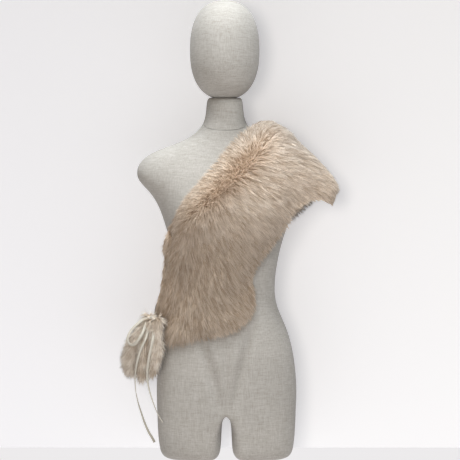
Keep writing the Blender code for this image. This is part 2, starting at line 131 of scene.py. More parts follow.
CURL_ANGLE = -3.0           # the hem curls under at the shoulder's outer corner
CURL_SPREAD = 7.0
CURL_WIDTH = 26.0
CURL_DROP = 34.0
CURL_INSET = -1.0
CURL_REACH = 0.45           # length of the hair there, as a share
CURL_POWER = 2.6
HOLLOWS = [
    # either side of the corner the hem is drawn up: angle, spread in degrees, depth
    (-17.0, 8.0, 25.0), (14.0, 9.0, 25.0), (40.0, 24.0, 33.0),
]
CORNER_SWELL = 8.0          # the corner itself stands out a little
CORNER_SPREAD = 13.0
CORNER_REACH = 3.0          # over this many widths of the curl
PANEL_PILE = 9.3            # how far the hide lies under the pile's outer side
ROLL_PILE = 10.0
PARTING_BLEND = 20.0        # half the width over which the hair changes its lie
BAND_HEIGHT = 640.0         # where the short curly band lies on the front, and its half height
BAND_REACH = 85.0
BAND_WIDTH = 13.0
TIED_ANGLE = -155.0         # from here to the tied front end the hair grows longer
TIED_SPREAD = 9.0
TIED_REACH = 1.0
HEM_REACH = 0.62            # length of the hair at the hem, as a share
HEM_FADE = 32.0
RAY_REACH = 480.0
HIDE_THICKNESS = 1.5

# Which way the hair lies: place on the front, then degrees clockwise from the object's right
PANEL_FLOW = [
    (110, 697, 10), (81, 647, 20), (144, 663, 7), (178, 640, 8),
    (190, 617, 20), (167, 572, 43), (246, 606, 42), (31, 583, 38),
    (-3, 504, 52), (65, 447, 45), (-49, 481, 60), (-72, 527, 88),
    (-94, 504, 103), (-83, 424, 95), (-49, 402, 62), (19, 424, 50),
    (-110, 379, 92), (-140, 379, 102), (-83, 379, 73), (-49, 368, 53),
    (-19, 356, 42), (31, 334, 48), (-94, 300, 82), (-60, 288, 65),
    (-33, 300, 58), (-132, 318, 140),
]
ROLL_FLOW = [
    (90, 752, 340), (64, 748, 295), (44, 728, 255), (19, 697, 205),
    (-30, 640, 195), (-70, 600, 180), (-110, 550, 150),
    (-130, 493, 128), (-145, 420, 112), (-150, 365, 112),
    (-158, 330, 140),
]
FLOW_BLUR = 16.0

# The loose ends at the hip: rows from the knot outwards, as x, y, z, width, depth
LOOSE_ENDS = {
    "end_back": [
        (-172, -38, 324, 22, 14),
        (-179, -34, 306, 26, 16),
        (-189, -37, 286, 32, 20),
        (-201, -39, 262, 42, 24),
        (-211, -38, 236, 48, 26),
        (-214, -36, 213, 44, 24),
        (-213, -35, 196, 30, 18),
        (-212, -34, 188, 12, 10),
    ],
    "end_middle": [
        (-168, -56, 316, 12, 8),
        (-173, -56, 296, 14, 9),
        (-177, -56, 274, 14, 11),
        (-182, -57, 248, 19, 13),
        (-186, -57, 220, 23, 15),
        (-188, -56, 193, 20, 14),
        (-188, -55, 174, 8, 7),
    ],
    "end_front": [
        (-152, -60, 320, 22, 10),
        (-155, -63, 298, 26, 11),
        (-156, -67, 268, 26, 11),
        (-156, -67, 250, 36, 15),
        (-158, -64, 228, 34, 16),
        (-163, -61, 205, 22, 14),
        (-166, -58, 187, 10, 8),
    ],
}
END_SIDES = 16
END_SHORTER = 0.9           # the hide of a loose end stops short of its pile
END_PILE = 0.55             # this share of a loose end's half width is pile
END_SPLAY = 0.45            # how far its hair leans out from its axis

# The laces; each starts at the knot
LACE_WIDTH = 6.0
LACE_THICKNESS = 1.7
LACE_STEP = 3.0
EDGE_ROUND = 0.7            # the tape's edge is rounded through this share of its half thickness
KNOT_CENTRE = (-167.0, -46.5, 315.0)
KNOT_HALF = (8.0, 6.0, 7.0)
KNOT_MARGIN = 2.2           # the tape's middle stays this far inside the knot's reach
KNOT_STEPS = 64
KNOT_WAVE = 0.7
LACES = {
    "tie_tail_long": [
        (-170, -53.5, 306), (-174, -65, 293), (-180, -74, 272),
        (-189, -75, 252), (-196, -74, 230), (-201, -71, 207),
        (-203, -67, 184), (-202, -62, 158), (-197, -55, 130),
        (-190, -47, 105), (-183, -39, 82), (-175, -29, 61),
        (-167.5, -18, 46), (-163, -8, 35),
    ],
    "tie_tail_short": [
        (-163, -54.5, 306), (-161.5, -69, 294), (-162, -82, 276),
        (-167, -84, 252), (-172, -84, 227), (-175, -81, 201),
        (-174, -79, 178), (-169, -79, 154), (-161, -79, 130),
        (-152, -77, 107), (-141, -77, 88),
    ],
    "tie_loop": [
        (-177.5, -48.5, 318), (-187, -54, 314.5), (-197, -62, 307),
        (-208, -65, 297), (-216, -67, 285), (-220, -68, 272),
        (-215, -70, 262), (-205, -75, 261), (-196, -83, 270),
        (-187, -82, 284), (-182, -71, 297), (-179, -57.5, 307.5),
    ],
}
LACE_TWIST = {"tie_tail_long": 150.0, "tie_tail_short": -120.0, "tie_loop": 100.0}

# The stage
WALL_BACK = 140.0
WALL_GLOW = 0.355
STAGE_REACH = 3.0           # metres from the middle
BACKDROP = (0.847, 0.831, 0.839, 1.0)

# The pile: locks of hair on each hide; a stretch with two numbers is planted in two pieces
PANEL_LOCKS = {"front": (16500, 16500), "shoulder": (17500,), "back": (12500,)}
ROLL_LOCKS = {"front": (6500,), "shoulder": (6000,), "back": (4000,)}
END_LOCKS = {"end_back": 5600, "end_middle": 2200, "end_front": 3200}
HAIR_VERTS = 7              # of one lock: two rings of three and a tip
NORMAL_LEAN = 0.6           # 1 takes the light as the hide does, 0 as its own round side
WHITE = (1.0, 1.0, 1.0, 1.0)
WOOL = (0.66, 0.50, 0.365, 1.0)         # the short curly hair along the parting
PAINTED_LOW_SHADE = (0.64, 0.615, 0.585, 1.0)    # painted shade: the pile is this much darker below the chest
PAINTED_CREST_SHADE = (0.80, 0.81, 0.83, 1.0)    # and this much darker on the shoulder's crest, also painted shade

torso_low, torso_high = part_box("form_torso")
head_low, head_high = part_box("form_head")
MIDDLE = Vector((
    (torso_low[0] + torso_high[0]) / 2,
    (head_low[1] + head_high[1]) / 2 + HEAD_SET * MM,
    0.0,
))


def form_point(x, y, z):
    return MIDDLE + Vector((x, y, z)) * MM


def form_places(points):
    """Points in metres as millimetres from the form's middle."""
    return (points - np.array(MIDDLE)) / MM


def bell(values, middle, spread):
    return np.exp(-((values - middle) / spread) ** 2)


def rising(values, start, span):
    """0 up to the start, then evenly up to 1 over the span."""
    return np.clip((values - start) / span, 0.0, 1.0)


def smooth_rows(table, steps):
    """The table's rows with steps - 1 more between each two, on a Catmull-Rom curve."""
    rows = np.array(table, dtype=float)
    padded = np.vstack([2 * rows[0] - rows[1], rows, 2 * rows[-1] - rows[-2]])
    result = []
    for i in range(len(rows) - 1):
        before, start, end, after = padded[i:i + 4]
        for step in range(steps):
            t = step / steps
            result.append(0.5 * (2 * start + (end - before) * t
                                 + (2 * before - 5 * start + 4 * end - after) * t ** 2
                                 + (3 * start - before - 3 * end + after) * t ** 3))
    result.append(rows[-1])
    return np.array(result)


def new_object(name, data):
    obj = bpy.data.objects.new(name, data)
    bpy.context.scene.collection.objects.link(obj)
    return obj


def add_piece(name, mesh, look, nodes):
    """A finished piece of the object: it rides the one body and stands for its CAD nodes."""
    obj = new_object(name, mesh)
    mesh.materials.clear()
    mesh.materials.append(look)
    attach(obj, "root")
    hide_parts(*nodes)
    return obj


def mesh_from(name, corners, faces):
    mesh = bpy.data.meshes.new(name)
    mesh.from_pydata([tuple(corner) for corner in corners], [], faces)
    bm = bmesh.new()
    bm.from_mesh(mesh)
    bmesh.ops.recalc_face_normals(bm, faces=bm.faces)
    bm.to_mesh(mesh)
    bm.free()
    mesh.shade_smooth()
    return mesh


def loft(name, rings, closed=False):
    """A skin over rings of equally many points; its two ends are capped unless it is closed."""
    count, around = len(rings), len(rings[0])
    faces = []
    for i in range(count if closed else count - 1):
        low, high = i * around, ((i + 1) % count) * around
        for j in range(around):
            k = (j + 1) % around
            faces.append((low + j, low + k, high + k, high + j))
    if not closed:
        faces.append(tuple(reversed(range(around))))
        faces.append(tuple(range((count - 1) * around, count * around)))
    return mesh_from(name, [corner for ring in rings for corner in ring], faces)


# ---------------------------------------------------------------- node helpers

def put(tree, kind, inputs=None, **settings):
    """A new node with its settings and inputs; an input is a value or another node's socket."""
    node = tree.nodes.new(kind)
    for key, value in settings.items():
        setattr(node, key, value)
    for key, value in (inputs or {}).items():
        if isinstance(value, bpy.types.NodeSocket):
            tree.links.new(value, node.inputs[key])
        else:
            node.inputs[key].default_value = value
    return node


def calc(tree, operation, first, second=0.0, third=None):
    inputs = {0: first, 1: second}
    if third is not None:
        inputs[2] = third
    return put(tree, "ShaderNodeMath", inputs, operation=operation).outputs[0]


def vector(tree, operation, first, second):
    node = put(tree, "ShaderNodeVectorMath", {0: first, 1: second}, operation=operation)
    return node.outputs[0]


def scaled(tree, value, factor):
    node = put(tree, "ShaderNodeVectorMath", {0: value, "Scale": factor}, operation="SCALE")
    return node.outputs[0]


def unit(tree, value):
    return put(tree, "ShaderNodeVectorMath", {0: value}, operation="NORMALIZE").outputs[0]


def ranged(tree, value, low, high, to_low=0.0, to_high=1.0):
    return put(tree, "ShaderNodeMapRange",
               {0: value, 1: low, 2: high, 3: to_low, 4: to_high}).outputs[0]


def object_place(tree):
    return put(tree, "ShaderNodeTexCoord").outputs["Object"]


def mixed_colour(tree, share, first, second, blend="MIX"):
    return put(tree, "ShaderNodeMix", {0: share, 6: first, 7: second},
               data_type="RGBA", blend_type=blend).outputs[2]


def new_material(name, roughness, specular, sheen=0.0, sheen_roughness=0.5):
    made = bpy.data.materials.new(name)
    made.use_nodes = True
    shader = made.node_tree.nodes["Principled BSDF"]
    shader.inputs["Roughness"].default_value = roughness
    shader.inputs["Specular IOR Level"].default_value = specular
    shader.inputs["Sheen Weight"].default_value = sheen
    shader.inputs["Sheen Roughness"].default_value = sheen_roughness
    return made, made.node_tree, shader


# ---------------------------------------------------------------- materials

def linen_weave_group():
    """Colour and height of a slubby plain weave, from the place on the form."""
    tree = bpy.data.node_groups.new("linen weave", "ShaderNodeTree")
    tree.interface.new_socket("Place", in_out="INPUT", socket_type="NodeSocketVector")
    tree.interface.new_socket("Colour", in_out="OUTPUT", socket_type="NodeSocketColor")
    tree.interface.new_socket("Height", in_out="OUTPUT", socket_type="NodeSocketFloat")
    inside = put(tree, "NodeGroupInput")
    outside = put(tree, "NodeGroupOutput")
    place = inside.outputs["Place"]
    slubs = []
    for stretch in ((0.08, 0.08, 1.0), (1.0, 1.0, 0.07)):
        lie = vector(tree, "MULTIPLY", place, stretch)
        for scale in (520.0, 1300.0):
            noise = put(tree, "ShaderNodeTexNoise",
                        {"Vector": lie, "Scale": scale, "Detail": 2.0, "Roughness": 0.6})
            slubs.append(noise.outputs[0])
    thick = calc(tree, "ADD", slubs[0], slubs[2])
    fine = calc(tree, "ADD", slubs[1], slubs[3])
    height = calc(tree, "MULTIPLY_ADD", fine, 0.5, calc(tree, "MULTIPLY", thick, 0.5))
    cloud = put(tree, "ShaderNodeTexNoise", {"Vector": place, "Scale": 9.0, "Detail": 3.0})
    thread = mixed_colour(tree, ranged(tree, height, 0.78, 1.22), (0.34, 0.314, 0.277, 1.0),
                          (0.51, 0.49, 0.457, 1.0))
    tone = ranged(tree, cloud.outputs[0], 0.3, 0.7, 0.93, 1.05)
    tree.links.new(scaled(tree, thread, tone), outside.inputs["Colour"])
    tree.links.new(height, outside.inputs["Height"])
    return tree


def linen_material():
    made, tree, shader = new_material("linen", 0.92, 0.2, sheen=0.12)
    weave = put(tree, "ShaderNodeGroup", node_tree=linen_weave_group())
    tree.links.new(object_place(tree), weave.inputs["Place"])
    bump = put(tree, "ShaderNodeBump",
               {"Height": weave.outputs["Height"], "Strength": 0.35, "Distance": 0.0006})
    tree.links.new(weave.outputs["Colour"], shader.inputs["Base Color"])
    tree.links.new(bump.outputs[0], shader.inputs["Normal"])
    return made


def pile_material(name, root, body, tip, painted_low_shade):
    """Hair that is dark at its root and pale at its tip, with locks a little darker or paler, and
    painted shade below the chest and on the shoulder's crest.
    """
    made, tree, shader = new_material(name, 0.55, 0.25, sheen=0.15, sheen_roughness=0.4)
    along, tint, bare = (put(tree, "ShaderNodeAttribute", attribute_name=read).outputs["Fac"]
                         for read in ("along", "tint", "bare"))
    place = object_place(tree)
    cloud = put(tree, "ShaderNodeTexNoise", {"Vector": place, "Scale": 11.0, "Detail": 2.0})
    ramp = put(tree, "ShaderNodeValToRGB", {0: along})
    stops = ramp.color_ramp.elements
    stops[0].color = (*root, 1.0)
    stops[1].position = 0.45
    stops[1].color = (*body, 1.0)
    last = stops.new(1.0)
    last.color = (*tip, 1.0)
    height = put(tree, "ShaderNodeSeparateXYZ", {0: place}).outputs["Z"]
    rusty = mixed_colour(tree, calc(tree, "MULTIPLY", bare, 0.3), WHITE, (0.93, 0.79, 0.65, 1.0))
    lock_tone = mixed_colour(tree, ranged(tree, tint, 0.15, 0.85), (0.66, 0.59, 0.52, 1.0),
                             (1.16, 1.16, 1.16, 1.0))
    # painted shade by height: the pile is darker below the chest and on the shoulder's crest
    crest_shade = mixed_colour(tree, ranged(tree, height, 0.67, 0.74), WHITE, PAINTED_CREST_SHADE)
    height_shade = mixed_colour(tree, ranged(tree, height, 0.46, 0.64), painted_low_shade, crest_shade)
    warm = mixed_colour(tree, calc(tree, "MULTIPLY", bare, 0.55), ramp.outputs[0], WOOL)
    for tone in (rusty, lock_tone, height_shade):
        warm = mixed_colour(tree, 1.0, warm, tone, blend="MULTIPLY")
    patch = ranged(tree, cloud.outputs[0], 0.3, 0.7, 0.90, 1.07)
    tree.links.new(scaled(tree, warm, patch), shader.inputs["Base Color"])
    return made


def plain_material(name, colour, roughness, grain=0.0):
    made, tree, shader = new_material(name, roughness, 0.25)
    shader.inputs["Base Color"].default_value = (*colour, 1.0)
    if grain:
        noise = put(tree, "ShaderNodeTexNoise",
                    {"Vector": object_place(tree), "Scale": grain, "Detail": 2.0})
        bump = put(tree, "ShaderNodeBump",
                   {"Height": noise.outputs[0], "Strength": 0.5, "Distance": 0.0004})
        tree.links.new(bump.outputs[0], shader.inputs["Normal"])
    return made


# ---------------------------------------------------------------- camera and laces

CAMERA_BACK = 3.2
PICTURE_WIDTH = 1.044       # of the view at the form's middle
PICTURE_CENTRE = (8.0, 515.0)


def make_camera():
    data = bpy.data.cameras.new("camera")
    data.sensor_width = 36.0
    data.lens = data.sensor_width * CAMERA_BACK / PICTURE_WIDTH
    camera = new_object("camera", data)
    camera.location = form_point(PICTURE_CENTRE[0], 0.0, PICTURE_CENTRE[1])
    camera.location.y -= CAMERA_BACK
    camera.rotation_euler = (math.pi / 2, 0.0, 0.0)
    bpy.context.scene.camera = camera


def even_path(table, step):
    """Points at even distances, about a step apart, on a smooth line through the table."""
    dense = np.array([form_point(*row) for row in smooth_rows(table, 12)])
    lengths = np.linalg.norm(np.diff(dense, axis=0), axis=1)
    travelled = np.concatenate([[0.0], np.cumsum(lengths)])
    count = int(round(travelled[-1] / step)) + 1
    stops = np.linspace(0.0, travelled[-1], count)
    line = np.column_stack([np.interp(stops, travelled, dense[:, axis]) for axis in range(3)])
    return [Vector(point) for point in line], float(travelled[-1])


def tape_section():
    """A flat section with rounded edges, as (across, through) in metres."""
    half, thin = LACE_WIDTH / 2 * MM, LACE_THICKNESS / 2 * MM
    flat, bend = half - thin, EDGE_ROUND * thin
    return [(-flat, -thin), (0.0, -thin), (flat, -thin), (flat + bend, -bend),
            (half, 0.0), (flat + bend, bend), (flat, thin), (0.0, thin),
            (-flat, thin), (-flat - bend, bend), (-half, 0.0), (-flat - bend, -bend)]


def tape_mesh(name, line, twist, closed=False):
    """A flat tape along a line; it turns about itself by twist degrees on the way."""
    count = len(line)
    section = tape_section()
    facing = Vector((0.0, -1.0, 0.0))
    rings = []
    for i, point in enumerate(line):
        before = line[i - 1] if closed or i > 0 else line[0]
        after = line[(i + 1) % count] if closed or i < count - 1 else line[-1]
        way = (after - before).normalized()
        facing = (facing - way * facing.dot(way)).normalized()
        turned = Matrix.Rotation(math.radians(twist) * i / count, 3, way) @ facing
        side = way.cross(turned)
        rings.append([point + side * a + turned * b for a, b in section])
    return loft(name, rings, closed)


def knot_line():
    """A closed line that crosses itself like an overhand knot, inside the knot's reach."""
    room = [half - KNOT_MARGIN for half in KNOT_HALF]
    points = []
    for i in range(KNOT_STEPS):
        turn = 2.0 * math.pi * i / KNOT_STEPS
        reach = (2.0 + math.cos(3.0 * turn)) / 3.0
        local = (math.cos(2.0 * turn) * reach, math.sin(3.0 * turn) * KNOT_WAVE,
                 math.sin(2.0 * turn) * reach)
        points.append(form_point(*(c + r * u for c, r, u in zip(KNOT_CENTRE, room, local))))
    return points


def make_laces():
    cream = plain_material("cream tape", (0.57, 0.535, 0.46), 0.75, grain=2200.0)
    add_piece("lace_knot", tape_mesh("lace_knot", knot_line(), 360.0, closed=True), cream,
              ["tie_knot"])
    for name, table in LACES.items():
        line, length = even_path(table, LACE_STEP * MM)
        piece = add_piece(name.replace("tie", "lace"), tape_mesh(name, line, LACE_TWIST[name]),
                          cream, [name])


# ---------------------------------------------------------------- the form

def cad_mesh(node, name):
    """A welded copy of a CAD node's mesh in the row frame."""
    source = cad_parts[node]
    mesh = source.data.copy()
    mesh.name = name
    mesh.transform(source.matrix_world)
    bm = bmesh.new()
    bm.from_mesh(mesh)
    bmesh.ops.remove_doubles(bm, verts=bm.verts, dist=0.05 * MM)
    bm.to_mesh(mesh)
    bm.free()
    return mesh


def through_modifier(mesh, kind, **settings):
    """The mesh as one modifier leaves it."""
    obj = new_object("work", mesh)
    modifier = obj.modifiers.new("work", kind)
    for key, value in settings.items():
        setattr(modifier, key, value)
    graph = bpy.context.evaluated_depsgraph_get()
    made = bpy.data.meshes.new_from_object(obj.evaluated_get(graph))
    bpy.data.objects.remove(obj)
    bpy.data.meshes.remove(mesh)
    return made


def relax(mesh, rounds):
    """Smooths the trunk's facets away and opens its notch; gives the points as they are then."""
    count = len(mesh.vertices)
    points = np.empty(count * 3)
    mesh.vertices.foreach_get("co", points)
    points = points.reshape(-1, 3)
    edges = np.empty(len(mesh.edges) * 2, dtype=np.int64)
    mesh.edges.foreach_get("vertices", edges)
    one, two = edges.reshape(-1, 2).T
    degree = np.bincount(one, minlength=count) + np.bincount(two, minlength=count)
    out, _, up = form_places(points).T
    by_notch = rising(np.hypot(out, np.maximum(up - NOTCH_TOP, 0.0)), *NOTCH_KEPT)
    by_sole = rising(up, *SOLE_KEPT)
    free = FREE_STEP * (KEPT_FREE + (1.0 - KEPT_FREE) * np.minimum(by_notch, by_sole))
    end, fade = LIFT_FALL
    lift = bell(out, 0.0, LIFT_WIDTH) * rising(up, *LIFT_RISE)
    points[:, 2] += NOTCH_LIFT * MM * lift * rising(-up, -end, fade)
    for _ in range(rounds):
        for axis in range(3):
            values = points[:, axis]
            total = np.bincount(one, weights=values[two], minlength=count)
            total += np.bincount(two, weights=values[one], minlength=count)
            points[:, axis] = values + free * (total / degree - values)
    mesh.vertices.foreach_set("co", points.ravel())
    return points


def crease_front(mesh, points):
    """Shallow creases down the belly, where the thighs meet it and in the middle."""
    local = form_places(points)
    start, run = CREASE_RUN
    for top, foot, width, depth in CREASES:
        top, foot = np.array(top), np.array(foot)
        way = top - foot
        place = np.column_stack([np.abs(local[:, 0]), local[:, 2]]) - foot
        share = np.clip(place @ way / (way @ way), 0.0, 1.0)
        off = np.linalg.norm(place - share[:, None] * way, axis=1)
        fade = np.sin(np.pi * np.clip(share * run + start, 0.0, 1.0)) ** CREASE_SHARPNESS
        depths = depth * fade * bell(off, 0.0, width) * (local[:, 1] < 0.0)
        points[:, 1] += depths * MM
    mesh.vertices.foreach_set("co", points.ravel())


def parted(mesh, name, above):
    """The part of the trunk above or below the neck seam, closed there."""
    made = mesh.copy()
    made.name = name
    bm = bmesh.new()
    bm.from_mesh(made)
    normal = Vector((0.0, -math.sin(NECK_SEAM_TILT), math.cos(NECK_SEAM_TILT)))
    place = form_point(0.0, 0.0, NECK_SEAM_HEIGHT) + normal * (SEAM_GAP * MM if above else 0.0)
    found = bmesh.ops.bisect_plane(bm, geom=bm.verts[:] + bm.edges[:] + bm.faces[:],
                                   plane_co=place, plane_no=normal,
                                   clear_outer=not above, clear_inner=above)
    rim = [part for part in found["geom_cut"] if isinstance(part, bmesh.types.BMEdge)]
    bmesh.ops.edgenet_fill(bm, edges=rim)
    bmesh.ops.recalc_face_normals(bm, faces=bm.faces)
    bm.to_mesh(made)
    bm.free()
    made.shade_smooth()
    made.set_sharp_from_angle(angle=math.radians(50.0))
    return made


def joined(first, second):
    bm = bmesh.new()
    bm.from_mesh(first)
    bm.from_mesh(second)
    bm.to_mesh(first)
    bm.free()
    bpy.data.meshes.remove(second)
    return first


def make_form():
    linen = linen_material()
    solid = joined(cad_mesh("form_torso", "trunk"), cad_mesh("form_neck", "neck"))
    trunk = through_modifier(solid, "REMESH", mode="VOXEL", voxel_size=TRUNK_VOXEL * MM)
    crease_front(trunk, relax(trunk, TRUNK_ROUNDS))
    add_piece("linen_torso", parted(trunk, "linen_torso", False), linen, ["form_torso"])
    add_piece("linen_neck", parted(trunk, "linen_neck", True), linen, ["form_neck"])
    head = through_modifier(cad_mesh("form_head", "form_head"), "SUBSURF", levels=1,
                            render_levels=1)
    head.shade_smooth()
    add_piece("linen_head", head, linen, ["form_head"])


# ---------------------------------------------------------------- the hides

def wrap_edges(degrees):
    table = smooth_rows(WRAP, 4)
    return [float(np.interp(degrees, table[:, 0], table[:, i])) for i in (1, 2, 3)]


def sash_point(across, along, depth):
    point = ACROSS * across + ALONG * along
    return form_point(point.x, depth, point.z)


def cad_tree(node):
    mesh = cad_mesh(node, "work")
    tree = BVHTree.FromPolygons([vert.co.copy() for vert in mesh.vertices],
                                [list(face.vertices) for face in mesh.polygons])
    bpy.data.meshes.remove(mesh)
    return tree


def stretch_of(degrees):
    """The name of the stretch at an angle, and the angle kept clear of its ends."""
    shy = STRETCH_SHY
    if degrees < -SHOULDER_ANGLE:
        return "front", min(max(degrees, WRAP[0][0] + shy), -SHOULDER_ANGLE - shy)
    if degrees > SHOULDER_ANGLE:
        return "back", max(min(degrees, WRAP[-1][0] - shy), SHOULDER_ANGLE + shy)
    return "shoulder", min(max(degrees, -SHOULDER_ANGLE + shy), SHOULDER_ANGLE - shy)


def blurred(grid):
    """A grid of numbers, each averaged with its neighbours both ways."""
    for _ in range(2):
        padded = np.pad(grid, ((1, 1), (0, 0)), mode="edge")
        grid = (padded[:-2] + 2.0 * padded[1:-1] + padded[2:]) / 4.0
        grid = grid.T
    return grid


def hide_edges(degrees):
    """Places across of the hide's hem, the parting and the roll's edge at an angle."""
    upper, parting, lower = wrap_edges(degrees)
    inset = HEM_INSET - (HEM_INSET - CURL_INSET) * bell(degrees, CURL_ANGLE, CURL_SPREAD)
    for angle, spread, depth in HOLLOWS:
        inset += depth * bell(degrees, angle, spread)
    hem = lower + min(inset, END_INSET * (parting - lower))
    bulge = ROLL_BULGE * bell(degrees, ROLL_BULGE_ANGLE, ROLL_BULGE_SPREAD)
    edge = upper - min(ROLL_INSET, ROLL_END_INSET * (upper - parting)) + bulge
    return hem, parting, edge


def hide_grid():
    """Angles, places across and points of the whole hide, from its hem over the parting."""
    trees = {prefix + name: cad_tree(prefix + name) for prefix in ("wrap_", "roll_")
             for name in ("front", "shoulder", "back")}
    turns = np.concatenate([
        np.linspace(WRAP[0][0] + 1.0, -SHOULDER_ANGLE, FRONT_STEPS + 1)[:-1],
        np.linspace(-SHOULDER_ANGLE, SHOULDER_ANGLE, SHOULDER_STEPS + 1)[:-1],
        np.linspace(SHOULDER_ANGLE, WRAP[-1][0] - 1.0, BACK_STEPS + 1),
    ])
    lanes = PANEL_LANES + ROLL_LANES + 1
    radii = np.full((len(turns), lanes), np.nan)
    places = np.zeros((len(turns), lanes))
    for i, degrees in enumerate(turns):
        stretch, clear = stretch_of(degrees)
        hem, parting, edge = hide_edges(degrees)
        angle = math.radians(clear)
        way = ALONG * math.cos(angle) + Vector((0.0, math.sin(angle), 0.0))
        for j in range(lanes):
            if j <= PANEL_LANES:
                across = hem + (parting - hem) * j / PANEL_LANES
                tree = trees["wrap_" + stretch]
                ray_across = min(across, parting - PARTING_SHY)
            else:
                across = parting + (edge - parting) * (j - PANEL_LANES) / ROLL_LANES
                tree = trees["roll_" + stretch]
                ray_across = max(across, parting + PARTING_SHY)
            centre = sash_point(ray_across, HUB, 0.0)
            hit = tree.ray_cast(centre + way * RAY_REACH * MM, -way)[0]
            places[i, j] = across
            if hit:
                radii[i, j] = (hit - centre).length / MM
    for row in radii:
        known = ~np.isnan(row)
        row[~known] = np.interp(np.flatnonzero(~known), np.flatnonzero(known), row[known])
    depth = np.full(lanes, PANEL_PILE)
    depth[PANEL_LANES + 1:] = ROLL_PILE
    radii = blurred(blurred(radii - depth))
    from_hem = places - places[:, :1]
    near_hem = np.clip(1.0 - from_hem / (CORNER_REACH * CURL_WIDTH), 0.0, 1.0)
    radii += CORNER_SWELL * bell(turns, CURL_ANGLE, CORNER_SPREAD)[:, None] * near_hem
    near_hem = np.clip(1.0 - from_hem / CURL_WIDTH, 0.0, 1.0)
    radii -= CURL_DROP * (bell(turns, CURL_ANGLE, CURL_SPREAD)[:, None] * near_hem ** CURL_POWER)
    points = []
    for i, degrees in enumerate(turns):
        angle = math.radians(degrees)
        for j in range(lanes):
            points.append(sash_point(places[i, j], HUB + radii[i, j] * math.cos(angle),
                                     radii[i, j] * math.sin(angle)))
    return turns, places, np.array(points).reshape(len(turns), lanes, 3)


def laid(ways, normals):
    """The ways brought down into the surface, at unit length unless they nearly stand up."""
    flat = ways - normals * np.sum(ways * normals, axis=1)[:, None]
    return flat / np.maximum(np.linalg.norm(flat, axis=1), 0.05)[:, None]


def flow_vectors(points, normals, table):
    """Unit vectors in the surface, each the way the hair lies at that point."""
    local = form_places(points)
    known = np.array(table)
    spread = np.linalg.norm(local[:, None, [0, 2]] - known[None, :, :2], axis=2)
    weights = 1.0 / (spread ** 2 + FLOW_BLUR ** 2) ** 1.5
    turns = np.radians(known[:, 2])
    flat = np.stack([weights @ np.cos(turns), np.zeros(len(points)), -weights @ np.sin(turns)],
                    axis=1)
    return laid(flat / np.linalg.norm(flat, axis=1)[:, None], normals)


def comb_vectors(points, normals, places, turns):
    """The lie of the hair on the whole hide; near the parting it is short, so the hair stands."""
    partings = np.array([wrap_edges(degrees)[1] for degrees in turns])
    beyond = (places - partings[:, None]).ravel()
    share = np.clip(0.5 + beyond / (2.0 * PARTING_BLEND), 0.0, 1.0)
    share = (share * share * (3.0 - 2.0 * share))[:, None]
    comb = (1.0 - share) * flow_vectors(points, normals, PANEL_FLOW)
    comb = comb + share * flow_vectors(points, normals, ROLL_FLOW)
    local = form_places(points)
    near = np.clip(1.25 - np.abs(local[:, 2] - BAND_HEIGHT) / BAND_REACH, 0.0, 1.0)
    near = near * (local[:, 1] < 0.0) * bell(beyond, 0.0, BAND_WIDTH)
    return comb * (1.0 - 0.9 * near)[:, None]


def hair_reach(turns, places):
    """The length of the hair as a share: less at both edges and the corner, whole where tied."""
    from_hem = np.abs(places - places[:, :1])
    from_edge = np.abs(places[:, -1:] - places)
    reach = np.minimum(HEM_REACH + (1.0 - HEM_REACH) * from_hem / HEM_FADE,
                       HEM_REACH + (1.0 - HEM_REACH) * from_edge / HEM_FADE)
    corner = bell(turns, CURL_ANGLE, 2.0 * CURL_SPREAD)[:, None]
    corner = corner * np.clip(1.0 - from_hem / (1.6 * CURL_WIDTH), 0.0, 1.0)
    reach = np.minimum(reach, 1.0) * (1.0 - (1.0 - CURL_REACH) * corner)
    tied = np.clip((TIED_ANGLE - turns) / TIED_SPREAD, 0.0, 1.0)[:, None]
    return reach + (TIED_REACH - reach) * tied


def open_hide(name, grid):
    """The hide's outer face as an open mesh, its normals away from the sash's middle."""
    rows, columns = grid.shape[:2]
    faces = []
    for i in range(rows - 1):
        for j in range(columns - 1):
            a = i * columns + j
            faces.append((a, a + 1, a + columns + 1, a + columns))
    mesh = bpy.data.meshes.new(name)
    mesh.from_pydata([tuple(point) for point in grid.reshape(-1, 3)], [], faces)
    middle = np.array(sash_point(SASH_MIDDLE, HUB, 0.0))
    outward = 0.0
    for face in mesh.polygons:
        away = np.array(face.center) - middle
        outward += float(np.dot(away, face.normal))
    if outward < 0.0:
        mesh.flip_normals()
    mesh.shade_smooth()
    return mesh


def vertex_arrays(mesh):
    count = len(mesh.vertices)
    points, normals = np.empty(count * 3), np.empty(count * 3)
    mesh.vertices.foreach_get("co", points)
    mesh.vertex_normals.foreach_get("vector", normals)
    return points.reshape(-1, 3), normals.reshape(-1, 3)


def store(mesh, name, kind, values):
    layer = mesh.attributes.new(name, kind, "POINT")
    layer.data.foreach_set("vector" if kind == "FLOAT_VECTOR" else "value", values.ravel())


# ---------------------------------------------------------------- the pile

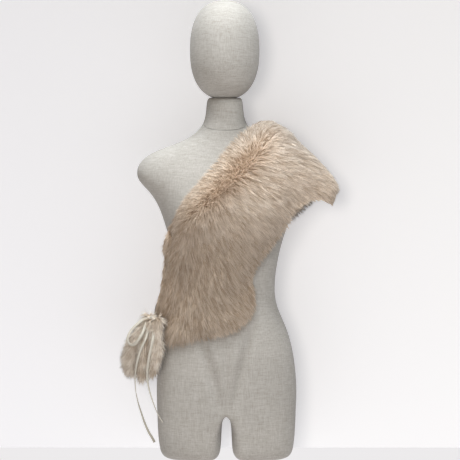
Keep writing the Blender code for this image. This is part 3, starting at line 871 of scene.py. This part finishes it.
def pile_tree():
    """Geometry nodes that plant locks of hair all over a hide."""
    tree = bpy.data.node_groups.new("planted pile", "GeometryNodeTree")
    face = tree.interface
    face.new_socket("Hide", in_out="INPUT", socket_type="NodeSocketGeometry")
    for name in ("Locks per area", "Tufts per area", "Length", "Radius", "Rise", "Stray",
                 "Gather", "Lay down", "Hang"):
        face.new_socket(name, in_out="INPUT", socket_type="NodeSocketFloat")
    face.new_socket("Seed", in_out="INPUT", socket_type="NodeSocketInt")
    face.new_socket("Pile", in_out="INPUT", socket_type="NodeSocketMaterial")
    face.new_socket("Hair", in_out="OUTPUT", socket_type="NodeSocketGeometry")
    given = put(tree, "NodeGroupInput").outputs
    outside = put(tree, "NodeGroupOutput")

    def random(low, high, offset, ident=None):
        seed = calc(tree, "ADD", given["Seed"], float(offset))
        node = put(tree, "FunctionNodeRandomValue", {2: low, 3: high, "Seed": seed},
                   data_type="FLOAT")
        if ident is not None:
            tree.links.new(ident, node.inputs["ID"])
        return node.outputs[1]

    def scatter_vector(offset):
        seed = calc(tree, "ADD", given["Seed"], float(offset))
        return put(tree, "FunctionNodeRandomValue",
                   {0: (-1.0, -1.0, -1.0), 1: (1.0, 1.0, 1.0), "Seed": seed},
                   data_type="FLOAT_VECTOR").outputs[0]

    def scatter(density, seed):
        return put(tree, "GeometryNodeDistributePointsOnFaces",
                   {"Mesh": given["Hide"], "Density": given[density], "Seed": seed})

    def named(name, kind):
        return put(tree, "GeometryNodeInputNamedAttribute", {"Name": name},
                   data_type=kind).outputs[0]

    def stored(geometry, name, value, kind):
        return put(tree, "GeometryNodeStoreNamedAttribute",
                   {"Geometry": geometry, "Name": name, "Value": value},
                   data_type=kind, domain="POINT").outputs[0]

    locks = scatter("Locks per area", given["Seed"])
    tufts = scatter("Tufts per area", calc(tree, "ADD", given["Seed"], 7.0))
    here = put(tree, "GeometryNodeInputPosition").outputs[0]
    nearest = put(tree, "GeometryNodeSampleNearest",
                  {"Geometry": tufts.outputs["Points"], "Sample Position": here}).outputs[0]
    tuft_place = put(tree, "GeometryNodeSampleIndex",
                     {"Geometry": tufts.outputs["Points"], "Value": here, "Index": nearest},
                     data_type="FLOAT_VECTOR").outputs[0]
    to_tuft = vector(tree, "SUBTRACT", tuft_place, here)

    comb = named("comb", "FLOAT_VECTOR")
    combed = put(tree, "ShaderNodeVectorMath", {0: comb}, operation="LENGTH").outputs["Value"]
    upright = calc(tree, "MAXIMUM", calc(tree, "SUBTRACT", 1.0, combed), 0.0)
    reach = named("reach", "FLOAT")
    normal = locks.outputs["Normal"]
    length = calc(tree, "MULTIPLY", calc(tree, "MULTIPLY", given["Length"], reach),
                  calc(tree, "MULTIPLY", random(0.72, 1.12, 1),
                       calc(tree, "MULTIPLY_ADD", upright, -0.3, 1.0)))
    rise = calc(tree, "ADD", calc(tree, "MULTIPLY", given["Rise"], random(0.7, 1.3, 2)), upright)
    way = vector(tree, "ADD", comb, scaled(tree, normal, rise))
    loose = calc(tree, "MULTIPLY", given["Stray"], calc(tree, "MULTIPLY_ADD", upright, 3.0, 1.0))
    way = vector(tree, "ADD", way, scaled(tree, scatter_vector(3), loose))
    way = unit(tree, way)
    sideways = put(tree, "ShaderNodeVectorMath", {0: comb, 1: normal},
                   operation="CROSS_PRODUCT").outputs[0]
    curl = calc(tree, "MULTIPLY", length, random(-0.10, 0.10, 4, nearest))
    bend = scaled(tree, to_tuft, calc(tree, "MULTIPLY", given["Gather"], random(0.5, 1.0, 5)))
    bend = vector(tree, "ADD", bend, scaled(tree, sideways, curl))
    settle = calc(tree, "MULTIPLY", calc(tree, "MULTIPLY", length, given["Lay down"]), -1.0)
    bend = vector(tree, "ADD", bend, scaled(tree, normal, settle))
    fall = put(tree, "ShaderNodeCombineXYZ",
               {"Z": calc(tree, "MULTIPLY", calc(tree, "MULTIPLY", length, given["Hang"]), -1.0)})
    bend = vector(tree, "ADD", bend, fall.outputs[0])
    tint = calc(tree, "MULTIPLY_ADD", random(0.0, 1.0, 6, nearest), 0.7,
                calc(tree, "MULTIPLY", random(0.0, 1.0, 8), 0.3))

    spots = locks.outputs["Points"]
    for name, value, kind in (("bend", bend, "FLOAT_VECTOR"), ("tint", tint, "FLOAT"),
                              ("bare", upright, "FLOAT"), ("stand", normal, "FLOAT_VECTOR")):
        spots = stored(spots, name, value, kind)

    cone = put(tree, "GeometryNodeMeshCone",
               {"Vertices": 3, "Side Segments": 2, "Radius Top": 0.0, "Radius Bottom": 1.0,
                "Depth": 1.0}, fill_type="NGON").outputs["Mesh"]
    place = put(tree, "GeometryNodeInputPosition").outputs[0]
    height = put(tree, "ShaderNodeSeparateXYZ", {0: place}).outputs["Z"]
    lock = stored(cone, "along", height, "FLOAT")
    belly = calc(tree, "MULTIPLY", calc(tree, "MULTIPLY", height, 2.4),
                 calc(tree, "SUBTRACT", 1.0, height))
    wider = scaled(tree, vector(tree, "MULTIPLY", place, (1.0, 1.0, 0.0)), belly)
    lock = put(tree, "GeometryNodeSetPosition", {"Geometry": lock, "Offset": wider}).outputs[0]

    turn = put(tree, "FunctionNodeAlignRotationToVector", {"Vector": way}, axis="Z").outputs[0]
    spin = put(tree, "FunctionNodeAxisAngleToRotation",
               {"Axis": (0.0, 0.0, 1.0), "Angle": random(0.0, 2.0 * math.pi, 9)}).outputs[0]
    turn = put(tree, "FunctionNodeRotateRotation", {"Rotation": turn, "Rotate By": spin},
               rotation_space="LOCAL").outputs[0]
    thick = calc(tree, "MULTIPLY", given["Radius"], random(0.7, 1.25, 10))
    size = put(tree, "ShaderNodeCombineXYZ", {"X": thick, "Y": thick, "Z": length}).outputs[0]
    planted = put(tree, "GeometryNodeInstanceOnPoints",
                  {"Points": spots, "Instance": lock, "Rotation": turn, "Scale": size}).outputs[0]
    hair = put(tree, "GeometryNodeRealizeInstances", {"Geometry": planted}).outputs[0]
    t, bent = named("along", "FLOAT"), named("bend", "FLOAT_VECTOR")
    hair = put(tree, "GeometryNodeSetPosition",
               {"Geometry": hair, "Offset": scaled(tree, bent, calc(tree, "MULTIPLY", t, t))})
    hair = put(tree, "GeometryNodeSetShadeSmooth", {"Geometry": hair.outputs[0]}).outputs[0]
    hair = put(tree, "GeometryNodeSetMaterial",
               {"Geometry": hair, "Material": given["Pile"]}).outputs[0]
    tree.links.new(hair, outside.inputs["Hair"])
    return tree


def set_inputs(modifier, values):
    """Sets a geometry nodes modifier's inputs by their names."""
    for item in modifier.node_group.interface.items_tree:
        if item.item_type == "SOCKET" and item.in_out == "INPUT" and item.name in values:
            modifier[item.identifier] = values[item.name]


def mesh_area(mesh):
    areas = np.empty(len(mesh.polygons))
    mesh.polygons.foreach_get("area", areas)
    return float(areas.sum())


def bake_spots(mesh):
    """Gives each lock its own small cell of the bake map."""
    loops = np.empty(len(mesh.loops), dtype=np.int64)
    mesh.loops.foreach_get("vertex_index", loops)
    along = np.empty(len(mesh.vertices), dtype=np.float32)
    mesh.attributes["along"].data.foreach_get("value", along)
    lock = loops // HAIR_VERTS
    side = (loops % HAIR_VERTS + 2) % 3
    across = int(math.ceil(math.sqrt(len(mesh.vertices) / HAIR_VERTS)))
    u = (lock % across + 0.15 + 0.35 * side) / across
    v = (lock // across + 0.1 + 0.8 * along[loops]) / across
    layer = mesh.uv_layers.new(name="OFBake")
    layer.uv.foreach_set("vector", np.column_stack([u, v]).astype(np.float32).ravel())


def lean_normals(mesh):
    """The locks take the light much as the hide under them does."""
    points, own = vertex_arrays(mesh)
    stand = np.empty(len(points) * 3)
    mesh.attributes["stand"].data.foreach_get("vector", stand)
    leaning = own * (1.0 - NORMAL_LEAN) + stand.reshape(-1, 3) * NORMAL_LEAN
    leaning /= np.maximum(np.linalg.norm(leaning, axis=1), 1e-6)[:, None]
    mesh.normals_split_custom_set_from_vertices(leaning)
    for name in ("stand", "bend", "comb", "reach"):
        mesh.attributes.remove(mesh.attributes[name])


def plant(name, hide, tree, look, slot_name, nodes, locks, **wanted):
    """The pile of one hide as a plain mesh of about that many locks."""
    values = {
        "Locks per area": locks / mesh_area(hide),
        "Tufts per area": 45000.0,
        "Length": 38.0 * MM,
        "Radius": 0.7 * MM,
        "Rise": 0.34,
        "Stray": 0.12,
        "Gather": 0.85,
        "Lay down": 0.14,
        "Hang": 0.05,
        "Seed": 11,
        "Pile": look,
    }
    values.update(wanted)
    bed = new_object(name, hide.copy())
    modifier = bed.modifiers.new("planted pile", "NODES")
    modifier.node_group = tree
    set_inputs(modifier, values)
    graph = bpy.context.evaluated_depsgraph_get()
    mesh = bpy.data.meshes.new_from_object(bed.evaluated_get(graph))
    bpy.data.objects.remove(bed)
    mesh.name = name
    bake_spots(mesh)
    lean_normals(mesh)
    return add_piece(name, mesh, look, nodes)


def without_pile(mesh):
    """A copy of the hide without what only its hair needs."""
    bare = mesh.copy()
    for name in ("comb", "reach"):
        bare.attributes.remove(bare.attributes[name])
    return bare


def closed_hide(mesh):
    """The hide as a thin closed shell, its thickness on the inner side."""
    return through_modifier(without_pile(mesh), "SOLIDIFY", thickness=HIDE_THICKNESS * MM,
                            offset=-1.0)


def bed_of(mesh, start, end):
    """The faces of an open hide numbered from start up to end, as a mesh of their own."""
    made = mesh.copy()
    bm = bmesh.new()
    bm.from_mesh(made)
    bm.faces.ensure_lookup_table()
    bmesh.ops.delete(bm, geom=[face for face in bm.faces if not start <= face.index < end],
                     context="FACES")
    bm.to_mesh(made)
    bm.free()
    return made


def make_wrap():
    tree = pile_tree()
    pile = pile_material("pile", (0.44, 0.31, 0.20), (0.84, 0.71, 0.58), (0.94, 0.855, 0.76),
                         PAINTED_LOW_SHADE)
    # painted shade: the roll's hair is a darker copy of the pile, dimmed for the light on the
    # shoulder's crest, and darker again below the chest
    shaded_roll_pile = pile_material("shaded roll pile", (0.40, 0.28, 0.18), (0.72, 0.595, 0.475),
                              (0.82, 0.725, 0.62), (0.76, 0.74, 0.715, 1.0))
    end_pile = pile_material("end pile", (0.38, 0.30, 0.22), (0.80, 0.71, 0.60),
                             (0.94, 0.90, 0.83), WHITE)
    skin = plain_material("hide", (0.47, 0.36, 0.26), 0.9)
    turns, places, grid = hide_grid()
    whole = open_hide("whole hide", grid)
    points, normals = vertex_arrays(whole)
    comb = comb_vectors(points, normals, places, turns).reshape(grid.shape)
    reach = hair_reach(turns, places)
    spans = {
        "front": turns <= -SHOULDER_ANGLE + 0.01,
        "shoulder": np.abs(turns) <= SHOULDER_ANGLE + 0.01,
        "back": turns >= SHOULDER_ANGLE - 0.01,
    }
    kinds = {
        "panel": (slice(0, PANEL_LANES + 1), pile, "fur", "wrap_", {}, PANEL_LOCKS),
        "roll": (slice(PANEL_LANES, None), shaded_roll_pile, "roll_fur", "roll_",
                 {"Length": 33.0 * MM, "Stray": 0.2}, ROLL_LOCKS),
    }
    for kind, (columns, look, slot_name, prefix, hair, counts) in kinds.items():
        for stretch, chosen in spans.items():
            part = grid[chosen][:, columns]
            node = prefix + stretch
            open_mesh = open_hide(node, part)
            store(open_mesh, "comb", "FLOAT_VECTOR", comb[chosen][:, columns])
            store(open_mesh, "reach", "FLOAT", reach[chosen][:, columns])
            faces = len(open_mesh.polygons)
            shares = counts[stretch]
            for i, locks in enumerate(shares):
                start, end = faces * i // len(shares), faces * (i + 1) // len(shares)
                bed = bed_of(open_mesh, start, end)
                plant(f"{kind}_pile_{stretch}_{i + 1}", bed, tree, look, slot_name,
                                  [node], locks, Seed=11 + 20 * i, **hair)
            hide = add_piece(f"{kind}_hide_{stretch}", closed_hide(open_mesh), skin,
                             [node])
    make_loose_ends(tree, end_pile, skin)


def make_loose_ends(tree, pile, skin):
    """The three corners of fur that hang from the knot."""
    for name, table in LOOSE_ENDS.items():
        rows = smooth_rows(table, 3)
        rows[:, 2] = KNOT_CENTRE[2] - (KNOT_CENTRE[2] - rows[:, 2]) * END_SHORTER
        rings = []
        for i, (x, y, z, width, depth) in enumerate(rows):
            before, after = rows[max(0, i - 1)][:3], rows[min(len(rows) - 1, i + 1)][:3]
            way = Vector(after - before).normalized()
            wide = way.cross(Vector((0.0, 1.0, 0.0))).normalized()
            deep = way.cross(wide)
            ring = []
            for k in range(END_SIDES):
                turn = 2.0 * math.pi * k / END_SIDES
                offset = wide * (width / 2 * (1.0 - END_PILE) * math.cos(turn))
                offset += deep * (depth / 2 * (1.0 - END_PILE) * math.sin(turn))
                ring.append(form_point(x, y, z) + offset * MM)
            rings.append(ring)
        mesh = loft(name, rings)
        points, normals = vertex_arrays(mesh)
        axis = Vector(rows[-1][:3] - rows[0][:3]).normalized()
        comb = laid(np.array(axis)[None, :] + END_SPLAY * normals, normals)
        store(mesh, "comb", "FLOAT_VECTOR", comb)
        store(mesh, "reach", "FLOAT", np.ones(len(points)))
        fur = plant(name.replace("end", "end_pile"), mesh, tree, pile, "fur", [name],
                    END_LOCKS[name], Length=26.0 * MM, Rise=0.9, Stray=0.4, Radius=0.6 * MM,
                    Gather=1.0, Seed=71)
        hide = add_piece(name.replace("end", "end_hide"), without_pile(mesh), skin, [name])


# ---------------------------------------------------------------- light and stage

def area_light(name, place, target, size, energy, colour, spared=None):
    """A round lamp that lights everything but the spared object."""
    data = bpy.data.lights.new(name, "AREA")
    data.shape = "DISK"
    data.size = size
    data.energy = energy
    data.color = colour
    light = new_object(name, data)
    light.location = place
    light.rotation_euler = (Vector(target) - Vector(place)).to_track_quat("-Z", "Y").to_euler()
    if spared is not None:
        group = bpy.data.collections.new("spared by " + name)
        group.objects.link(spared)
        light.light_linking.receiver_collection = group
        group.collection_objects[0].light_linking.link_state = "EXCLUDE"


def make_light(wall):
    world = bpy.data.worlds.new("world")
    bpy.context.scene.world = world
    world.use_nodes = True
    tree = world.node_tree
    back = tree.nodes["Background"]
    back.inputs["Color"].default_value = (1.0, 0.98, 0.95, 1.0)
    back.inputs["Strength"].default_value = 0.17
    seen = put(tree, "ShaderNodeBackground", {"Color": BACKDROP, "Strength": 1.0})
    path = put(tree, "ShaderNodeLightPath")
    mix = put(tree, "ShaderNodeMixShader", {0: path.outputs["Is Camera Ray"],
                                            1: back.outputs[0], 2: seen.outputs[0]})
    tree.links.new(mix.outputs[0], tree.nodes["World Output"].inputs["Surface"])
    area_light("key", (-0.25, -0.6, 3.0), (0.0, 0.0, 0.6), 1.2, 76.0, (0.92, 0.965, 1.0), wall)
    area_light("top", (0.6, -1.3, 1.9), (0.0, 0.0, 0.8), 1.0, 18.0, (0.90, 0.955, 1.0), wall)
    area_light("fill", (-0.52, -3.3, 0.75), (0.0, 0.0, 0.5), 0.9, 28.0, (1.0, 0.92, 0.84))
    bpy.context.scene.view_settings.view_transform = "Standard"


def glowing_material(name, glow):
    made, tree, shader = new_material(name, 1.0, 0.0)
    shader.inputs["Emission Color"].default_value = BACKDROP
    shader.inputs["Emission Strength"].default_value = glow
    return made, tree, shader


def make_wall():
    """A pale wall close behind, which only the camera sees, and only from the front."""
    y, side = WALL_BACK * MM, STAGE_REACH
    corners = [(-side, y, -0.5), (side, y, -0.5), (side, y, 4), (-side, y, 4)]
    mesh = bpy.data.meshes.new("wall")
    mesh.from_pydata(corners, [], [(0, 1, 2, 3)])
    made, tree, shader = glowing_material("wall", WALL_GLOW)
    # painted shade: the wall is darker towards the left, where the fill lamp falls more strongly,
    # so the backdrop reads even
    across = put(tree, "ShaderNodeSeparateXYZ", {0: object_place(tree)}).outputs["X"]
    painted_side_shade = mixed_colour(tree, ranged(tree, across, -0.5, 0.5), (0.86, 0.88, 0.92, 1.0),
                         (0.96, 0.98, 1.0, 1.0))
    tree.links.new(painted_side_shade, shader.inputs["Base Color"])
    behind = put(tree, "ShaderNodeNewGeometry").outputs["Backfacing"]
    clear = put(tree, "ShaderNodeBsdfTransparent")
    mix = put(tree, "ShaderNodeMixShader", {0: behind, 1: shader.outputs[0], 2: clear.outputs[0]})
    tree.links.new(mix.outputs[0], tree.nodes["Material Output"].inputs["Surface"])
    mesh.materials.append(made)
    wall = new_object("wall", mesh)
    wall.visible_diffuse = False
    wall.visible_glossy = False
    wall.visible_transmission = False
    wall.visible_shadow = False
    return wall


def make_floor():
    far = STAGE_REACH
    mesh = mesh_from("floor", [(-far, -far, 0), (far, -far, 0), (far, far, 0), (-far, far, 0)],
                     [(0, 1, 2, 3)])
    made, _, shader = glowing_material("floor", 1.0)
    shader.inputs["Base Color"].default_value = (0.0, 0.0, 0.0, 1.0)
    mesh.materials.append(made)
    new_object("floor", mesh)


make_camera()
make_laces()
make_form()
make_wrap()
make_light(make_wall())
make_floor()
